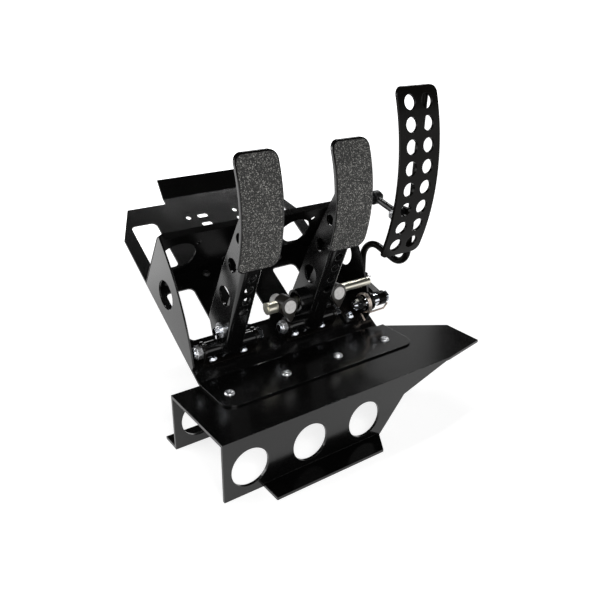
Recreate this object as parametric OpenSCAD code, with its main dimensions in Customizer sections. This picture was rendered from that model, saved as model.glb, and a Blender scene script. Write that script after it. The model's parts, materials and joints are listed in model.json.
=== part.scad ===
// Pedal box: a floor stand, a folded tray, clutch, brake and throttle pedals and a balance bar.
// Sizes are in millimetres and degrees. X runs across the box, Y from the driver to the bulkhead, Z up.
// Positions across start at the first hole of the stand's front wall, positions along start at that wall,
// and heights start at the floor. The pedals are placed on the tray by their distance along its floor
// from the fold and by their height above that floor.

/* [Floor stand] */
// thickness of the stand's sheet
stand_sheet = 3; // [2.5:0.5:4]
// height of the stand's top face above the floor
stand_height = 63; // [58:0.5:70]
// depth from the front wall to the rear wall
stand_depth = 102; // [95:1:115]
// distance from the first hole to the stand's open end
stand_end = 28.3; // [26:0.1:34]
// distance between the holes
stand_hole_pitch = 68.2; // [64:0.1:72]
// diameter of the holes
stand_hole_diameter = 40; // [34:1:44]
// height of the holes above the floor
stand_hole_height = 28.3; // [27:0.1:31]
// distance from the last hole to the tip of the nose
nose_reach = 178.4; // [170:0.2:190]
// length of the nose's slanted front edge
nose_taper = 58; // [50:1:66]
// length of the nose's slanted rear edge
nose_rear_taper = 66; // [56:1:70]
// width of the nose's blunt tip
nose_width = 48; // [40:1:54]
// distance that the nose's tip stands back from the front wall
nose_setback = 11; // [8:0.5:16]
// length of wall between the last hole and the end of the feet
wall_margin = 21.5; // [21:0.5:28]
// length of the steep part of the walls' slanted end
knee_length = 33; // [28:1:38]
// height of the bend in the walls' slanted end
knee_height = 39.4; // [35:0.2:44]
// depth of the front foot
front_foot_depth = 24; // [18:1:30]
// start of the front foot
front_foot_start = 13.6; // [5:0.2:25]
// length cut from the corner of the front foot
front_foot_corner = 15; // [10:1:20]
// depth of the rear foot
rear_foot_depth = 20; // [16:1:30]

/* [Base tray] */
// thickness of the tray's sheet
tray_sheet = 2; // [1.5:0.5:3]
// slope of the tray's floor
tray_angle = 32; // [30:1:34]
// position of the tray's left side
tray_left = 3; // [0:0.5:6]
// width of the tray
tray_width = 237; // [233:1:242]
// distance from the stand's rear wall to the fold of the tray
fold_overhang = 1; // [0.5:0.5:3]
// depth of the flange bolted on the stand
flange_depth = 57; // [50:1:64]
// length of flange beyond the tray's right side
flange_extra = 9; // [6:1:12]
// corner radius of the flange
flange_corner = 15; // [10:1:20]
// distance from the fold to the cylinder wall
wall_distance = 133.4; // [130:0.2:138]
// distance from the fold to the front of the cheeks
cheek_start = 16.4; // [15:0.2:18]
// height of the cheeks at their front
cheek_front_height = 5; // [4:0.5:8]
// height of the cheeks at the cylinder wall
cheek_height = 77; // [74:1:82]
// bow of the cheeks' top edge
cheek_bow = 10; // [7:0.5:12]
// diameter of the hole in each cheek
cheek_hole_diameter = 32; // [26:1:36]
// distance from the fold to the cheek hole
cheek_hole_distance = 94.4; // [90:0.2:98]
// height of the cheek hole above the floor
cheek_hole_height = 28.5; // [26:0.5:31]
// radius of the ear that carries the throttle shaft
ear_radius = 11; // [10:0.5:12]

/* [Tray openings] */
// number of windows in the floor
window_count = 3; // [2:1:3]
// distance between the windows
window_pitch = 69; // [66:0.5:72]
// distance from the tray's left side to the middle of the first window
window_offset = 30.5; // [28:0.5:33]
// width of the windows
window_width = 33; // [28:1:36]
// length of the floor windows
window_length = 65; // [58:1:68]
// distance from the fold to the floor windows
window_start = 49.4; // [48:0.2:51]
// corner radius of the windows
window_corner = 6; // [4:0.5:8]
// length of the rear windows
rear_window_length = 68; // [60:1:72]
// distance from the cylinder wall to the rear windows
rear_window_gap = 14; // [12:0.5:18]
// diameter of the small holes in the rear plate
rear_hole_diameter = 6.5; // [5:0.5:8]
// length of the slots in the rear plate
rear_slot_length = 14; // [11:0.5:17]
// distance from the rear plate's edge to its last row of holes
rear_row_margin = 27; // [24:0.5:30]
// distance between the rows of small holes
rear_row_pitch = 13.5; // [12:0.5:16]
// distance from the tray's left side to the first small hole
rear_hole_start = 88; // [85:0.5:90]
// distance from the first small hole to the slots
rear_slot_offset = 19; // [17:0.5:22]
// distance from the first small hole to the last
rear_hole_span = 64; // [60:0.5:68]

/* [Bulkhead] */
// length of the rear plate behind the cylinder wall
rear_length = 107; // [100:1:114]
// distance between the rear plate's edge and the fold of the bulkhead flange
bulkhead_step = 8.4; // [6:0.2:10]
// length of the bulkhead flange
bulkhead_flange = 24.6; // [20:0.2:30]
// bend of the bulkhead flange
bulkhead_bend = 25; // [20:1:30]
// inner radius of the folds of the tray
fold_radius = 4; // [3:0.5:5]
// distance from the tray's left side to the bulkhead flange
bulkhead_start = 70; // [64:1:76]
// width of the chamfers at the rear corners
rear_chamfer = 21; // [16:1:24]
// length of the chamfers at the rear corners
rear_chamfer_length = 43; // [38:1:48]

/* [Cylinder wall] */
// thickness of the wall's sheet
wall_sheet = 2; // [1.5:0.5:3]
// height of the wall above the floor
wall_height = 78; // [75:1:84]
// depth of the lip along the top
wall_lip = 6; // [4:0.5:8]
// depth of the foot
wall_foot = 12; // [11.5:0.5:14]
// chamfer of the upper corners
wall_chamfer = 5; // [3:0.5:8]
// diameter of the openings for the master cylinders
cylinder_diameter = 45; // [40:1:48]
// height of the openings above the floor
cylinder_height = 35; // [33:0.5:37]
// position of the opening for the clutch cylinder
clutch_cylinder = 32; // [31:0.5:36]
// diameter of the cylinder bolt holes
cylinder_bolt_diameter = 6.4; // [5.5:0.1:7]
// distance across from an opening to its bolt holes
cylinder_bolt_across = 22.5; // [21:0.5:23]
// distance up from an opening to its bolt holes
cylinder_bolt_up = 19; // [18:0.5:21]

/* [Pedals] */
// position of the clutch pedal
clutch_centre = 47; // [46:0.5:49]
// position of the brake pedal
brake_centre = 151; // [150:0.5:152]
// width of the arms
arm_width = 22; // [20:0.5:23]
// thickness of the arms' sheet
arm_sheet = 2.5; // [2:0.5:3]
// radius of the arms' rounded foot
arm_foot_radius = 12; // [11.5:0.1:12.5]
// lean of the arms' front edge
arm_lean = 9.6; // [8.6:0.1:10.5]
// radius of the arms' front corners
arm_bend_radius = 5; // [3:0.5:6]
// length of the arms above the pivot
arm_length = 179.6; // [174:0.2:184]
// depth of the arms behind the pivot at their top
arm_top_depth = 39; // [38:0.5:42]
// depth of the arms behind the pivot at mid height
arm_middle_depth = 37.7; // [36:0.1:40]
// height of the arms' mid point above the pivot
arm_middle = 79.7; // [72:0.1:86]
// depth of the arms behind the pivot at their foot
arm_low_depth = 31.4; // [30.5:0.1:33]
// height of the arms' rear corner above the pivot
arm_low = 13; // [12:0.5:15]
// diameter of the lowest hole in the arms' sides
arm_hole_diameter = 21; // [17:0.5:22]
// diameter of the holes in the arms' webs
web_hole_diameter = 10; // [8:0.5:11]
// distance between the web holes
web_hole_pitch = 15; // [13:0.5:16]

/* [Pedal pads] */
// width of the pads
pad_width = 45; // [40:1:50]
// height of the pads
pad_height = 110; // [100:1:114]
// height of the pads' middle above the floor
pad_middle = 247.5; // [244:0.5:251]
// radius of the pads' curve
pad_radius = 140; // [130:1:160]
// position of the pads' front
pad_front = 46; // [44:0.5:48]
// thickness of the pads
pad_sheet = 3; // [2.5:0.5:3.5]
// corner radius of the pads
pad_corner = 9; // [6:0.5:12]
// thickness of the grit facing
grip_sheet = 0.8; // [0.5:0.1:1.2]
// margin of bare pad round the facing
grip_margin = 1.5; // [1:0.5:4]

/* [Pivots] */
// distance from the fold to the pivot axis
pivot_distance = 26.4; // [25.8:0.2:27]
// diameter of the pivot bolts
pivot_diameter = 8; // [7:0.5:9]
// outer diameter of the pivot tubes
pivot_tube_diameter = 16; // [15:0.5:17]
// wall thickness of the pivot tubes
pivot_tube_wall = 1.5; // [1:0.25:2]
// length of pivot tube beyond each side of the arm
pivot_tube_extra = 1.5; // [1:0.5:2.5]
// length of the bushes
bush_length = 9; // [7:0.5:11]
// diameter of the spacer tubes
spacer_diameter = 16; // [14:0.5:16.5]
// half the width of a pedal bracket
bracket_half_width = 32; // [31:0.5:32]
// thickness of the brackets' sheet
bracket_sheet = 3; // [2.5:0.5:3.5]
// radius of the brackets' lugs
lug_radius = 9.5; // [9:0.1:9.7]
// half the depth of the brackets' base
bracket_half_depth = 12; // [11:0.5:12.5]
// distance from a pedal's middle to its bracket bolts
bracket_bolt_offset = 18.5; // [18:0.5:20]
// distance from the pivot axis forward to the bracket bolts
bracket_bolt_forward = 4; // [3.5:0.1:4.5]
// length of the throttle bracket's foot
throttle_foot = 20; // [18:0.5:21]
// distance from the throttle bracket's lug to its bolt
throttle_bolt_offset = 11; // [10.5:0.1:11.5]

/* [Balance bar] */
// diameter of the bar
bar_diameter = 10; // [9:0.5:11]
// distance from the pivot axis to the bar along the floor
bar_along = 15; // [14.8:0.2:16]
// distance from the pivot axis to the bar above the floor
bar_up = 21.5; // [21:0.5:23]
// distance between the trunnions
trunnion_pitch = 66.6; // [64:0.2:70]
// length of the bar left of the brake arm's middle
bar_left = 57; // [54:0.5:60]
// gap between the bar's right end and the cheek
bar_end_gap = 1; // [0.5:0.5:3]
// outer diameter of the housing in the brake arm
housing_diameter = 26; // [24:0.5:27]
// bore of the housing
housing_bore = 20; // [18:0.5:21]
// length of housing beyond each side of the arm
housing_extra = 8; // [6:0.5:9]
// radius of the trunnions' round top
trunnion_radius = 10.5; // [9.5:0.5:11]
// distance from the bar to the trunnions' point
trunnion_point = 15; // [14:0.5:15]
// thickness of the trunnions
trunnion_depth = 12; // [11.5:0.1:12]
// diameter of the push-rod sockets
socket_diameter = 14; // [12.5:0.5:15]
// length of the push-rod sockets behind the trunnions
socket_length = 12; // [8:1:16]
// diameter of the push rods that fit the sockets
push_rod_diameter = 8; // [6:0.5:8]

/* [Clutch pin] */
// distance from the pivot axis to the clevis pin along the floor
pin_along = 6.6; // [5:0.2:9]
// distance from the pivot axis to the clevis pin above the floor
pin_up = 20; // [18:0.5:23]
// diameter of the clevis pin
pin_diameter = 8; // [6:0.5:9]
// length of pin beyond the arm's left side
pin_end = 8; // [7.5:0.5:10]

/* [Throttle pedal] */
// position of the throttle plate
throttle_centre = 235.5; // [234:0.5:237]
// width of the throttle plate
throttle_width = 54; // [50:1:58]
// height of the throttle plate
throttle_height = 178; // [172:1:184]
// height of the throttle plate's middle above the floor
throttle_middle = 255; // [252:0.5:258]
// lean of the throttle plate towards the driver
throttle_lean = 2.5; // [1.5:0.1:3.5]
// radius of the throttle plate's curve
throttle_radius = 244; // [225:1:265]
// position of the throttle plate's front
throttle_front = 47.7; // [46:0.1:50]
// thickness of the throttle plate
throttle_sheet = 3; // [2:0.5:4]
// corner radius of the throttle plate
throttle_corner = 8; // [5:0.5:10]
// number of rows of holes in the throttle plate
throttle_rows = 8; // [6:1:8]
// distance between the rows
throttle_row_pitch = 21.7; // [20:0.1:22]
// distance between the two columns of holes
throttle_column_pitch = 22.6; // [21:0.2:26]
// diameter of the holes in the throttle plate
throttle_hole_diameter = 15; // [12:0.5:16]
// diameter of the throttle rod
rod_diameter = 8; // [7:0.5:9]
// position of the throttle rod
rod_centre = 255; // [254.5:0.5:257]
// distance from the rod's top to the top of the plate
rod_top_gap = 1.5; // [1:0.5:3]
// height of the lower bend's middle
lower_bend_height = 166; // [164:0.5:168]
// radius of the lower bend
lower_bend_radius = 17.5; // [16:0.5:19]
// height of the upper bend's middle
upper_bend_height = 134.5; // [132:0.5:137]
// radius of the upper bend
upper_bend_radius = 22; // [20:0.5:23]
// distance from the pivot axis to the rod's lower end
rod_drop_distance = 33; // [32:0.5:35]
// height of the rod's lower end above the pivot axis
rod_end_height = 10; // [8:0.5:12]
// diameter of the throttle shaft
shaft_diameter = 10; // [9:0.5:11]
// radius of the lever's hub
hub_radius = 8.5; // [8:0.1:9.5]
// width of the lever
lever_width = 9; // [8:0.5:10]
// position of the inner lug
inner_lug = 223; // [222.5:0.5:224]
// thickness of the inner lug
inner_lug_sheet = 4; // [3:0.5:4.5]
// wire diameter of the return spring
spring_wire = 2.4; // [2:0.1:2.5]
// radius of the return spring's coils
spring_radius = 11.3; // [10.5:0.1:11.6]

/* [Throttle link] */
// position of the link
link_centre = 247; // [246.8:0.1:247.2]
// distance from the rod to the link's bolt
link_setback = 12; // [11.5:0.5:14]
// height of the link's bolt above the floor
link_height = 206; // [202:0.5:210]
// distance between the link's two eyes
link_length = 40; // [36:0.5:44]
// rise of the link towards the bulkhead
link_rise = 14; // [10:1:20]
// diameter of the link rod
link_rod_diameter = 7.5; // [6:0.5:8]
// diameter of the link's bolts
link_bolt_diameter = 6; // [5:0.5:6.5]
// radius of the link's eyes
eye_radius = 7.8; // [7:0.1:8]
// width of the link's eyes
eye_width = 8; // [7:0.1:8.4]

/* [Fasteners] */
// diameter of the stand and bracket bolts
bolt_diameter = 6; // [5:0.5:6]
// diameter of their heads
bolt_head_diameter = 10.5; // [9.5:0.1:10.7]
// height of their heads
bolt_head_height = 3.3; // [3:0.1:3.6]
// position of the first stand bolt
stand_bolt_start = 19.4; // [17:0.2:22]
// distance between the stand bolts
stand_bolt_pitch = 67.95; // [65:0.05:70]
// distance from the flange's front edge to the stand bolts
stand_bolt_inset = 23.5; // [18:0.5:28]
// diameter of the wall bolts
wall_bolt_diameter = 5; // [4:0.5:5]
// number of wall bolts
wall_bolt_count = 5; // [4:1:6]
// distance from the tray's sides to the first and last wall bolt
wall_bolt_margin = 20; // [17:0.5:23]

/* [Fits] */
// radial clearance of running fits
running_clearance = 0.05; // [0.03:0.01:0.1]
// radial clearance of holes round bolts
bolt_clearance = 0.2; // [0.1:0.05:0.3]
// gap between faces that pass each other
face_gap = 0.4; // [0.3:0.05:0.5]

/* [Hidden] */
$fn = 64;
through = 400;
cut = 1;
join_step = 0.02;
fold_steps = 6;

// places derived from the stand and the tray
nose_tip = 2 * stand_hole_pitch + nose_reach;
nose_shoulder = nose_tip - nose_taper;
nose_back = nose_setback + nose_width;
feet_end = 2 * stand_hole_pitch + wall_margin;
fold_y = stand_depth + fold_overhang;
flange_top = stand_height + tray_sheet;
tray_right = tray_left + tray_width;
rear_edge = wall_distance + rear_length;
bulkhead_fold = rear_edge + bulkhead_step;
bulkhead_left = tray_left + bulkhead_start;
bulkhead_right = tray_right - rear_chamfer;
bulkhead_slope = tray_angle + bulkhead_bend;
rear_row = rear_edge - rear_row_margin;
last_hole = rear_hole_start + rear_hole_span;
stand_bolt_y = fold_y - flange_depth + stand_bolt_inset;

// frame of the part: the middle of its outline, on the floor
bulkhead_back = fold_y + bulkhead_fold * cos(tray_angle)
    + bulkhead_flange * cos(bulkhead_slope) + (tray_sheet - join_step) * sin(bulkhead_slope);
middle_x = (nose_tip - stand_end) / 2;
middle_y = (bulkhead_back - front_foot_depth) / 2;

// the pivot axis that all three pedals share, on the tray and in the whole part
pivot_height = bracket_sheet + face_gap + arm_foot_radius;
pivot_y = fold_y + pivot_distance * cos(tray_angle) - pivot_height * sin(tray_angle);
pivot_z = flange_top + pivot_distance * sin(tray_angle) + pivot_height * cos(tray_angle);
bolt_radius = pivot_diameter / 2;
tube_radius = pivot_tube_diameter / 2;
tube_half = arm_width / 2 + pivot_tube_extra;
bush_radius = tube_radius - pivot_tube_wall;

// the pedal arms
arm_half = arm_width / 2;
arm_front_top = arm_foot_radius / cos(arm_lean) - arm_length * tan(arm_lean);
low_reach = norm([arm_low_depth, arm_low]);
low_angle = atan2(arm_low, arm_low_depth) - acos(arm_foot_radius / low_reach);
pad_back_radius = pad_radius - grip_sheet - pad_sheet;
pad_weld_share = 0.42;
pad_contact = pad_middle - pad_weld_share * pad_height;
arm_holes = [[20, 60.7, 1], [25.3, 101.2, 0.72], [29, 134.5, 0.53]];
web_hole_first = 56.5;
web_hole_count = 4;

// the balance bar
bar_distance = pivot_distance + bar_along;
bar_height = pivot_height + bar_up;
bar_right = tray_right - tray_sheet - bar_end_gap;
bar_radius = bar_diameter / 2;
trunnions = [brake_centre - trunnion_pitch / 2, brake_centre + trunnion_pitch / 2];
cylinders = [clutch_cylinder, trunnions[0], trunnions[1]];
nut_length = 12;
nut_wall = 1.6;
socket_step = 0.8;
socket_floor = 2;

// the throttle pedal
plate_back_radius = throttle_radius - throttle_sheet;
plate_sag = plate_back_radius - sqrt(pow(plate_back_radius, 2) - pow(throttle_height / 2, 2));
rod_radius = rod_diameter / 2;
weld_gap = 0.1;
rod_overlap = 0.1;
plate_depth = lower_bend_radius + rod_radius + weld_gap + plate_sag + throttle_sheet;
plate_rise = (throttle_middle - lower_bend_height + plate_depth * sin(throttle_lean)) / cos(throttle_lean);
rod_length = plate_rise + throttle_height / 2 - rod_top_gap;
lower_bend_y = throttle_front + plate_depth * cos(throttle_lean) + plate_rise * sin(throttle_lean);
lower_bend = [lower_bend_y, lower_bend_height];
upper_bend = [pivot_y + rod_drop_distance - upper_bend_radius, upper_bend_height];
bend_line = upper_bend - lower_bend;
bend_slope = atan2(bend_line[1], bend_line[0])
    + asin((lower_bend_radius + upper_bend_radius) / norm(bend_line));
bend_start = lower_bend + lower_bend_radius * [sin(bend_slope), -cos(bend_slope)];
bend_end = upper_bend + upper_bend_radius * [-sin(bend_slope), cos(bend_slope)];
rod_end_y = pivot_y + rod_drop_distance;
rod_end_z = pivot_z + rod_end_height;
shaft_radius = shaft_diameter / 2;
hub_step = 0.5;
lever_start = rod_centre - lever_width / 2 - hub_step;
lever_end = lever_start + lever_width + 2 * hub_step;
socket_wall = 3;
socket_radius = rod_radius + socket_wall;
socket_height = 14;
rod_pin_height = 6;
lug_face = inner_lug + inner_lug_sheet;
shaft_step = 1;
stud_radius = shaft_radius - shaft_step;
dome_height = 8;
stud_reach = dome_height - 2;
spring_turns = 1.75;
coil_gap = 0.15;
spring_pitch = spring_wire + coil_gap;
spring_start = lug_face + face_gap + spring_wire / 2;
spring_end = spring_start + spring_turns * spring_pitch;

// the throttle link
link_depth = link_setback - lower_bend_radius;
link_rise_on_rod = (link_height - lower_bend_height - link_depth * sin(throttle_lean)) / cos(throttle_lean);
link_y = lower_bend_y + link_depth * cos(throttle_lean) - link_rise_on_rod * sin(throttle_lean);
link_bolt_radius = link_bolt_diameter / 2;
link_far_y = link_y + link_length * cos(link_rise);
link_far_z = link_height + link_length * sin(link_rise);
eye_half = eye_width / 2;
tab_start = link_centre + eye_half + face_gap;
tab_sheet = 4;
tab_end = tab_start + tab_sheet;

// standard hardware
nut_across = 1.7 * bolt_diameter;
nut_height = 0.85 * bolt_diameter;
pivot_nut_across = 1.625 * pivot_diameter;
pivot_nut_height = 0.85 * pivot_diameter;
pivot_head_height = 0.66 * pivot_diameter;
washer_sheet = 1.6;
washer_radius = pivot_diameter;
thread_end = 0.8;
wall_head_radius = 0.92 * wall_bolt_diameter;
wall_nut_across = 1.6 * wall_bolt_diameter;
wall_nut_height = 0.9 * wall_bolt_diameter;
link_head_across = 1.6 * link_bolt_diameter;
link_head_height = 0.65 * link_bolt_diameter;
link_nut_across = 1.65 * link_bolt_diameter;
link_nut_height = 0.85 * link_bolt_diameter;
head_rim_share = 0.35;
head_top_share = 0.6;
socket_share = 1.3;
split_wire = 1;

// Name of every piece.
// piece to draw

// Moves a drawing from the first hole of the stand to the middle of the part.
module placed() {
    translate([-middle_x, -middle_y, 0]) children();
}

// Turns a drawing whose Y is the way along the tray's floor and whose Z is the height above it.
module on_tray() {
    placed() translate([0, fold_y, flange_top]) rotate([tray_angle, 0, 0]) children();
}

// Sets a drawing on the pivot axis, its Y and Z still along and above the tray's floor.
module on_pivot() {
    on_tray() translate([0, pivot_distance, pivot_height]) children();
}

// Extrudes a side view, drawn along and up, across the part.
module across(start, width) {
    translate([start, 0, 0]) rotate([90, 0, 90]) linear_extrude(width) children();
}

// A round bar across the part.
module cross_bar(start, width, radius) {
    translate([start, 0, 0]) rotate([0, 90, 0]) cylinder(h = width, r = radius);
}

// A hexagon across the part.
module cross_hexagon(start, width, flats) {
    translate([start, 0, 0]) rotate([0, 90, 0]) cylinder(h = width, d = flats / cos(30), $fn = 6);
}

// A flat rectangle with round corners, from the given lower left corner.
module round_rectangle(corner, size, radius) {
    translate(corner) {
        translate([radius, 0]) square([size[0] - 2 * radius, size[1]]);
        translate([0, radius]) square([size[0], size[1] - 2 * radius]);
        for (x = [radius, size[0] - radius], y = [radius, size[1] - radius])
            translate([x, y]) circle(radius);
    }
}

// Points of a bowed line between two ends.
function bow(first, last, rise, count) =
    let (chord = last - first, span = norm(chord),
         radius = (pow(span / 2, 2) + pow(rise, 2)) / (2 * rise),
         half = asin(span / 2 / radius), lean = atan2(chord[1], chord[0]),
         centre = (first + last) / 2 + (radius - rise) * [sin(lean), -cos(lean)])
    [for (i = [0 : count]) let (turn = lean + 90 + half - 2 * half * i / count)
        centre + radius * [cos(turn), sin(turn)]];

// A bolt with a domed head standing on the given face, its shank downwards.
module button_bolt(shank, shank_radius, head_radius, head_height) {
    rim = head_rim_share * head_height;
    translate([0, 0, -shank]) cylinder(h = shank, r = shank_radius);
    difference() {
        union() {
            cylinder(h = rim, r = head_radius);
            translate([0, 0, rim])
                cylinder(h = head_height - rim, r1 = head_radius, r2 = head_top_share * head_radius);
        }
        translate([0, 0, rim])
            cylinder(h = head_height, d = socket_share * shank_radius / cos(30), $fn = 6);
    }
}

// A hexagon nut hanging under the given face, on a shank of the given radius.
module under_nut(flats, height, hole_radius) {
    translate([0, 0, -height]) difference() {
        cylinder(h = height, d = flats / cos(30), $fn = 6);
        translate([0, 0, -cut]) cylinder(h = height + 2 * cut, r = hole_radius);
    }
}

// Outline of the stand's walls: the feet end before the slanted nose.
module stand_wall_outline(end) {
    top = stand_height - stand_sheet / 2;
    difference() {
        polygon([
            [-stand_end, 0], [feet_end, 0], [feet_end + knee_length, knee_height],
            [end, top], [-stand_end, top]
        ]);
        for (i = [0 : 2])
            translate([i * stand_hole_pitch, stand_hole_height]) circle(d = stand_hole_diameter);
    }
}

module floor_stand() {
    color([0.05, 0.05, 0.06]) placed() difference() {
        union() {
            translate([0, 0, stand_height - stand_sheet]) linear_extrude(stand_sheet) polygon([
                [-stand_end, 0], [nose_shoulder, 0], [nose_tip, nose_setback], [nose_tip, nose_back],
                [nose_tip - nose_rear_taper, stand_depth], [-stand_end, stand_depth]
            ]);
            translate([0, stand_sheet, 0]) rotate([90, 0, 0])
                linear_extrude(stand_sheet) stand_wall_outline(nose_shoulder);
            translate([0, stand_depth, 0]) rotate([90, 0, 0])
                linear_extrude(stand_sheet) stand_wall_outline(nose_tip - nose_rear_taper);
            linear_extrude(stand_sheet) polygon([
                [front_foot_start, stand_sheet / 2], [feet_end, stand_sheet / 2], [feet_end, 0],
                [feet_end - front_foot_corner, -front_foot_depth], [front_foot_start, -front_foot_depth]
            ]);
            linear_extrude(stand_sheet) polygon([
                [-stand_end, stand_depth - stand_sheet / 2], [feet_end, stand_depth - stand_sheet / 2],
                [feet_end, stand_depth], [feet_end - front_foot_corner, stand_depth + rear_foot_depth],
                [-stand_end, stand_depth + rear_foot_depth]
            ]);
        }
        for (i = [0 : 3]) translate([stand_bolt_start + i * stand_bolt_pitch, stand_bolt_y, 0])
            cylinder(h = through, r = bolt_diameter / 2 + bolt_clearance);
    }
}

// Distance from a fold's corner to the ends of its round.
function fold_reach(angle) = fold_radius * tan(angle / 2);

// Points of the round of a fold at the given radius, from the level side to the raised side.
function fold_arc(angle, radius) =
    [for (i = [0 : fold_steps]) [-fold_reach(angle), fold_radius]
        + radius * [sin(angle * i / fold_steps), -cos(angle * i / fold_steps)]];

// Sheet folded up by the given angle: the round, a little sheet before it and a length from its corner.
// It is a trace thinner than the flat sheets, so that it ends inside them.
module folded_sheet(start, width, angle, sheet, length) {
    along = length * [cos(angle), sin(angle)];
    below = [sin(angle), -cos(angle)];
    under = sheet - join_step;
    outer = fold_arc(angle, fold_radius + under);
    level = -fold_reach(angle) - cut;
    across(start, width) polygon(concat(
        [[level, -join_step]], fold_arc(angle, fold_radius + join_step),
        [along + join_step * below, along + under * below],
        [for (i = [fold_steps : -1 : 0]) outer[i]], [[level, -under]]
    ));
}

// Flat outline of the tray's floor and rear plate with its windows, holes and slots.
module tray_floor_outline() {
    floor_start = fold_reach(tray_angle) + cut / 2;
    floor_end = bulkhead_fold - fold_reach(bulkhead_bend) - cut / 2;
    slot_centre = tray_left + rear_hole_start + rear_slot_offset;
    difference() {
        polygon([
            [tray_left, floor_start], [tray_right, floor_start],
            [tray_right, rear_edge - rear_chamfer_length],
            [bulkhead_right, rear_edge], [bulkhead_right, floor_end], [bulkhead_left, floor_end],
            [bulkhead_left, rear_edge], [tray_left + rear_chamfer, rear_edge],
            [tray_left, rear_edge - rear_chamfer_length]
        ]);
        for (i = [0 : window_count - 1])
            round_rectangle(
                [tray_left + window_offset + i * window_pitch - window_width / 2, window_start],
                [window_width, window_length], window_corner);
        for (x = [tray_left + window_offset, tray_right - window_offset])
            round_rectangle(
                [x - window_width / 2 + 1, wall_distance + rear_window_gap],
                [window_width - 2, rear_window_length], window_corner);
        for (x = [rear_hole_start, last_hole])
            translate([tray_left + x, rear_row]) circle(d = rear_hole_diameter);
        translate([tray_left + last_hole, rear_row - rear_row_pitch]) circle(d = rear_hole_diameter);
        for (y = [rear_row, rear_row - rear_row_pitch])
            round_rectangle(
                [slot_centre - rear_slot_length / 2, y - rear_hole_diameter / 2],
                [rear_slot_length, rear_hole_diameter], rear_hole_diameter / 2 - join_step);
    }
}

// Side view of a cheek.
module cheek_outline() {
    difference() {
        polygon(concat(
            [[wall_distance, 0], [cheek_start, 0]],
            bow([cheek_start, cheek_front_height], [wall_distance, cheek_height], cheek_bow, 14)
        ));
        translate([cheek_hole_distance, cheek_hole_height]) circle(d = cheek_hole_diameter);
    }
}

module base_tray() {
    reach = fold_reach(tray_angle);
    flat_depth = flange_depth - reach - cut / 2;
    color([0.05, 0.05, 0.06]) {
        placed() difference() {
            translate([0, 0, stand_height]) linear_extrude(tray_sheet) union() {
                round_rectangle(
                    [tray_left, fold_y - flange_depth],
                    [tray_width + flange_extra, flat_depth], flange_corner);
                translate([tray_left, fold_y - flange_depth / 2])
                    square([tray_width + flange_extra, flat_depth - flange_depth / 2]);
            }
            for (i = [0 : 3]) translate([stand_bolt_start + i * stand_bolt_pitch, stand_bolt_y, 0])
                cylinder(h = through, r = bolt_diameter / 2 + bolt_clearance);
        }
        placed() translate([0, fold_y, flange_top])
            folded_sheet(tray_left, tray_width, tray_angle, tray_sheet, reach + cut);
        on_tray() {
            difference() {
                translate([0, 0, -tray_sheet]) linear_extrude(tray_sheet) tray_floor_outline();
                bracket_bolt_places() translate([0, 0, -through / 2])
                    cylinder(h = through, r = bolt_diameter / 2 + bolt_clearance);
                wall_bolt_places() translate([0, 0, -through / 2])
                    cylinder(h = through, r = wall_bolt_diameter / 2 + bolt_clearance);
            }
            across(tray_left, tray_sheet) cheek_outline();
            difference() {
                across(tray_right - tray_sheet, tray_sheet) union() {
                    cheek_outline();
                    translate([pivot_distance, pivot_height]) circle(ear_radius);
                    translate([cheek_start, 0]) square([2 * ear_radius, pivot_height]);
                }
                translate([0, pivot_distance, pivot_height])
                    cross_bar(0, through, shaft_radius + running_clearance);
            }
            translate([0, bulkhead_fold, 0])
                folded_sheet(
                    bulkhead_left, bulkhead_right - bulkhead_left,
                    bulkhead_bend, tray_sheet, bulkhead_flange);
        }
    }
}

// Places of the bolts in the cylinder wall's foot.
module wall_bolt_places() {
    pitch = (tray_width - 2 * wall_bolt_margin) / (wall_bolt_count - 1);
    along = wall_distance - wall_foot / 2 - face_gap;
    for (i = [0 : wall_bolt_count - 1])
        translate([tray_left + wall_bolt_margin + i * pitch, along, 0]) children();
}

module cylinder_wall() {
    clear = tray_sheet + face_gap;
    color([0.05, 0.05, 0.06]) on_tray() {
        difference() {
            translate([0, wall_distance + wall_sheet, 0]) rotate([90, 0, 0])
                linear_extrude(wall_sheet) polygon([
                    [tray_left, 0], [tray_right, 0], [tray_right, wall_height - wall_chamfer],
                    [tray_right - wall_chamfer, wall_height], [tray_left + wall_chamfer, wall_height],
                    [tray_left, wall_height - wall_chamfer]
                ]);
            for (x = cylinders) translate([x, wall_distance - cut, cylinder_height]) rotate([-90, 0, 0]) {
                cylinder(h = wall_sheet + 2 * cut, d = cylinder_diameter);
                for (side = [-1, 1])
                    translate([side * cylinder_bolt_across, -side * cylinder_bolt_up, 0])
                        cylinder(h = wall_sheet + 2 * cut, d = cylinder_bolt_diameter);
            }
        }
        translate([tray_left + wall_chamfer, wall_distance - wall_lip, wall_height - wall_sheet])
            cube([tray_width - 2 * wall_chamfer, wall_lip + wall_sheet, wall_sheet]);
        difference() {
            translate([tray_left + clear, wall_distance - wall_foot, 0])
                cube([tray_width - 2 * clear, wall_foot + wall_sheet / 2, wall_sheet]);
            wall_bolt_places() translate([0, 0, -cut])
                cylinder(h = wall_sheet + 2 * cut, r = wall_bolt_diameter / 2 + bolt_clearance);
        }
    }
}

module stand_bolts() {
    color([0.75, 0.75, 0.78]) placed() for (i = [0 : 3])
        translate([stand_bolt_start + i * stand_bolt_pitch, stand_bolt_y, flange_top])
            button_bolt(
                tray_sheet + stand_sheet + nut_height + thread_end, bolt_diameter / 2,
                bolt_head_diameter / 2, bolt_head_height);
}

module stand_nuts() {
    color([0.7, 0.7, 0.72]) placed() for (i = [0 : 3])
        translate([stand_bolt_start + i * stand_bolt_pitch, stand_bolt_y, stand_height - stand_sheet])
            under_nut(nut_across, nut_height, bolt_diameter / 2 + running_clearance);
}

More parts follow.
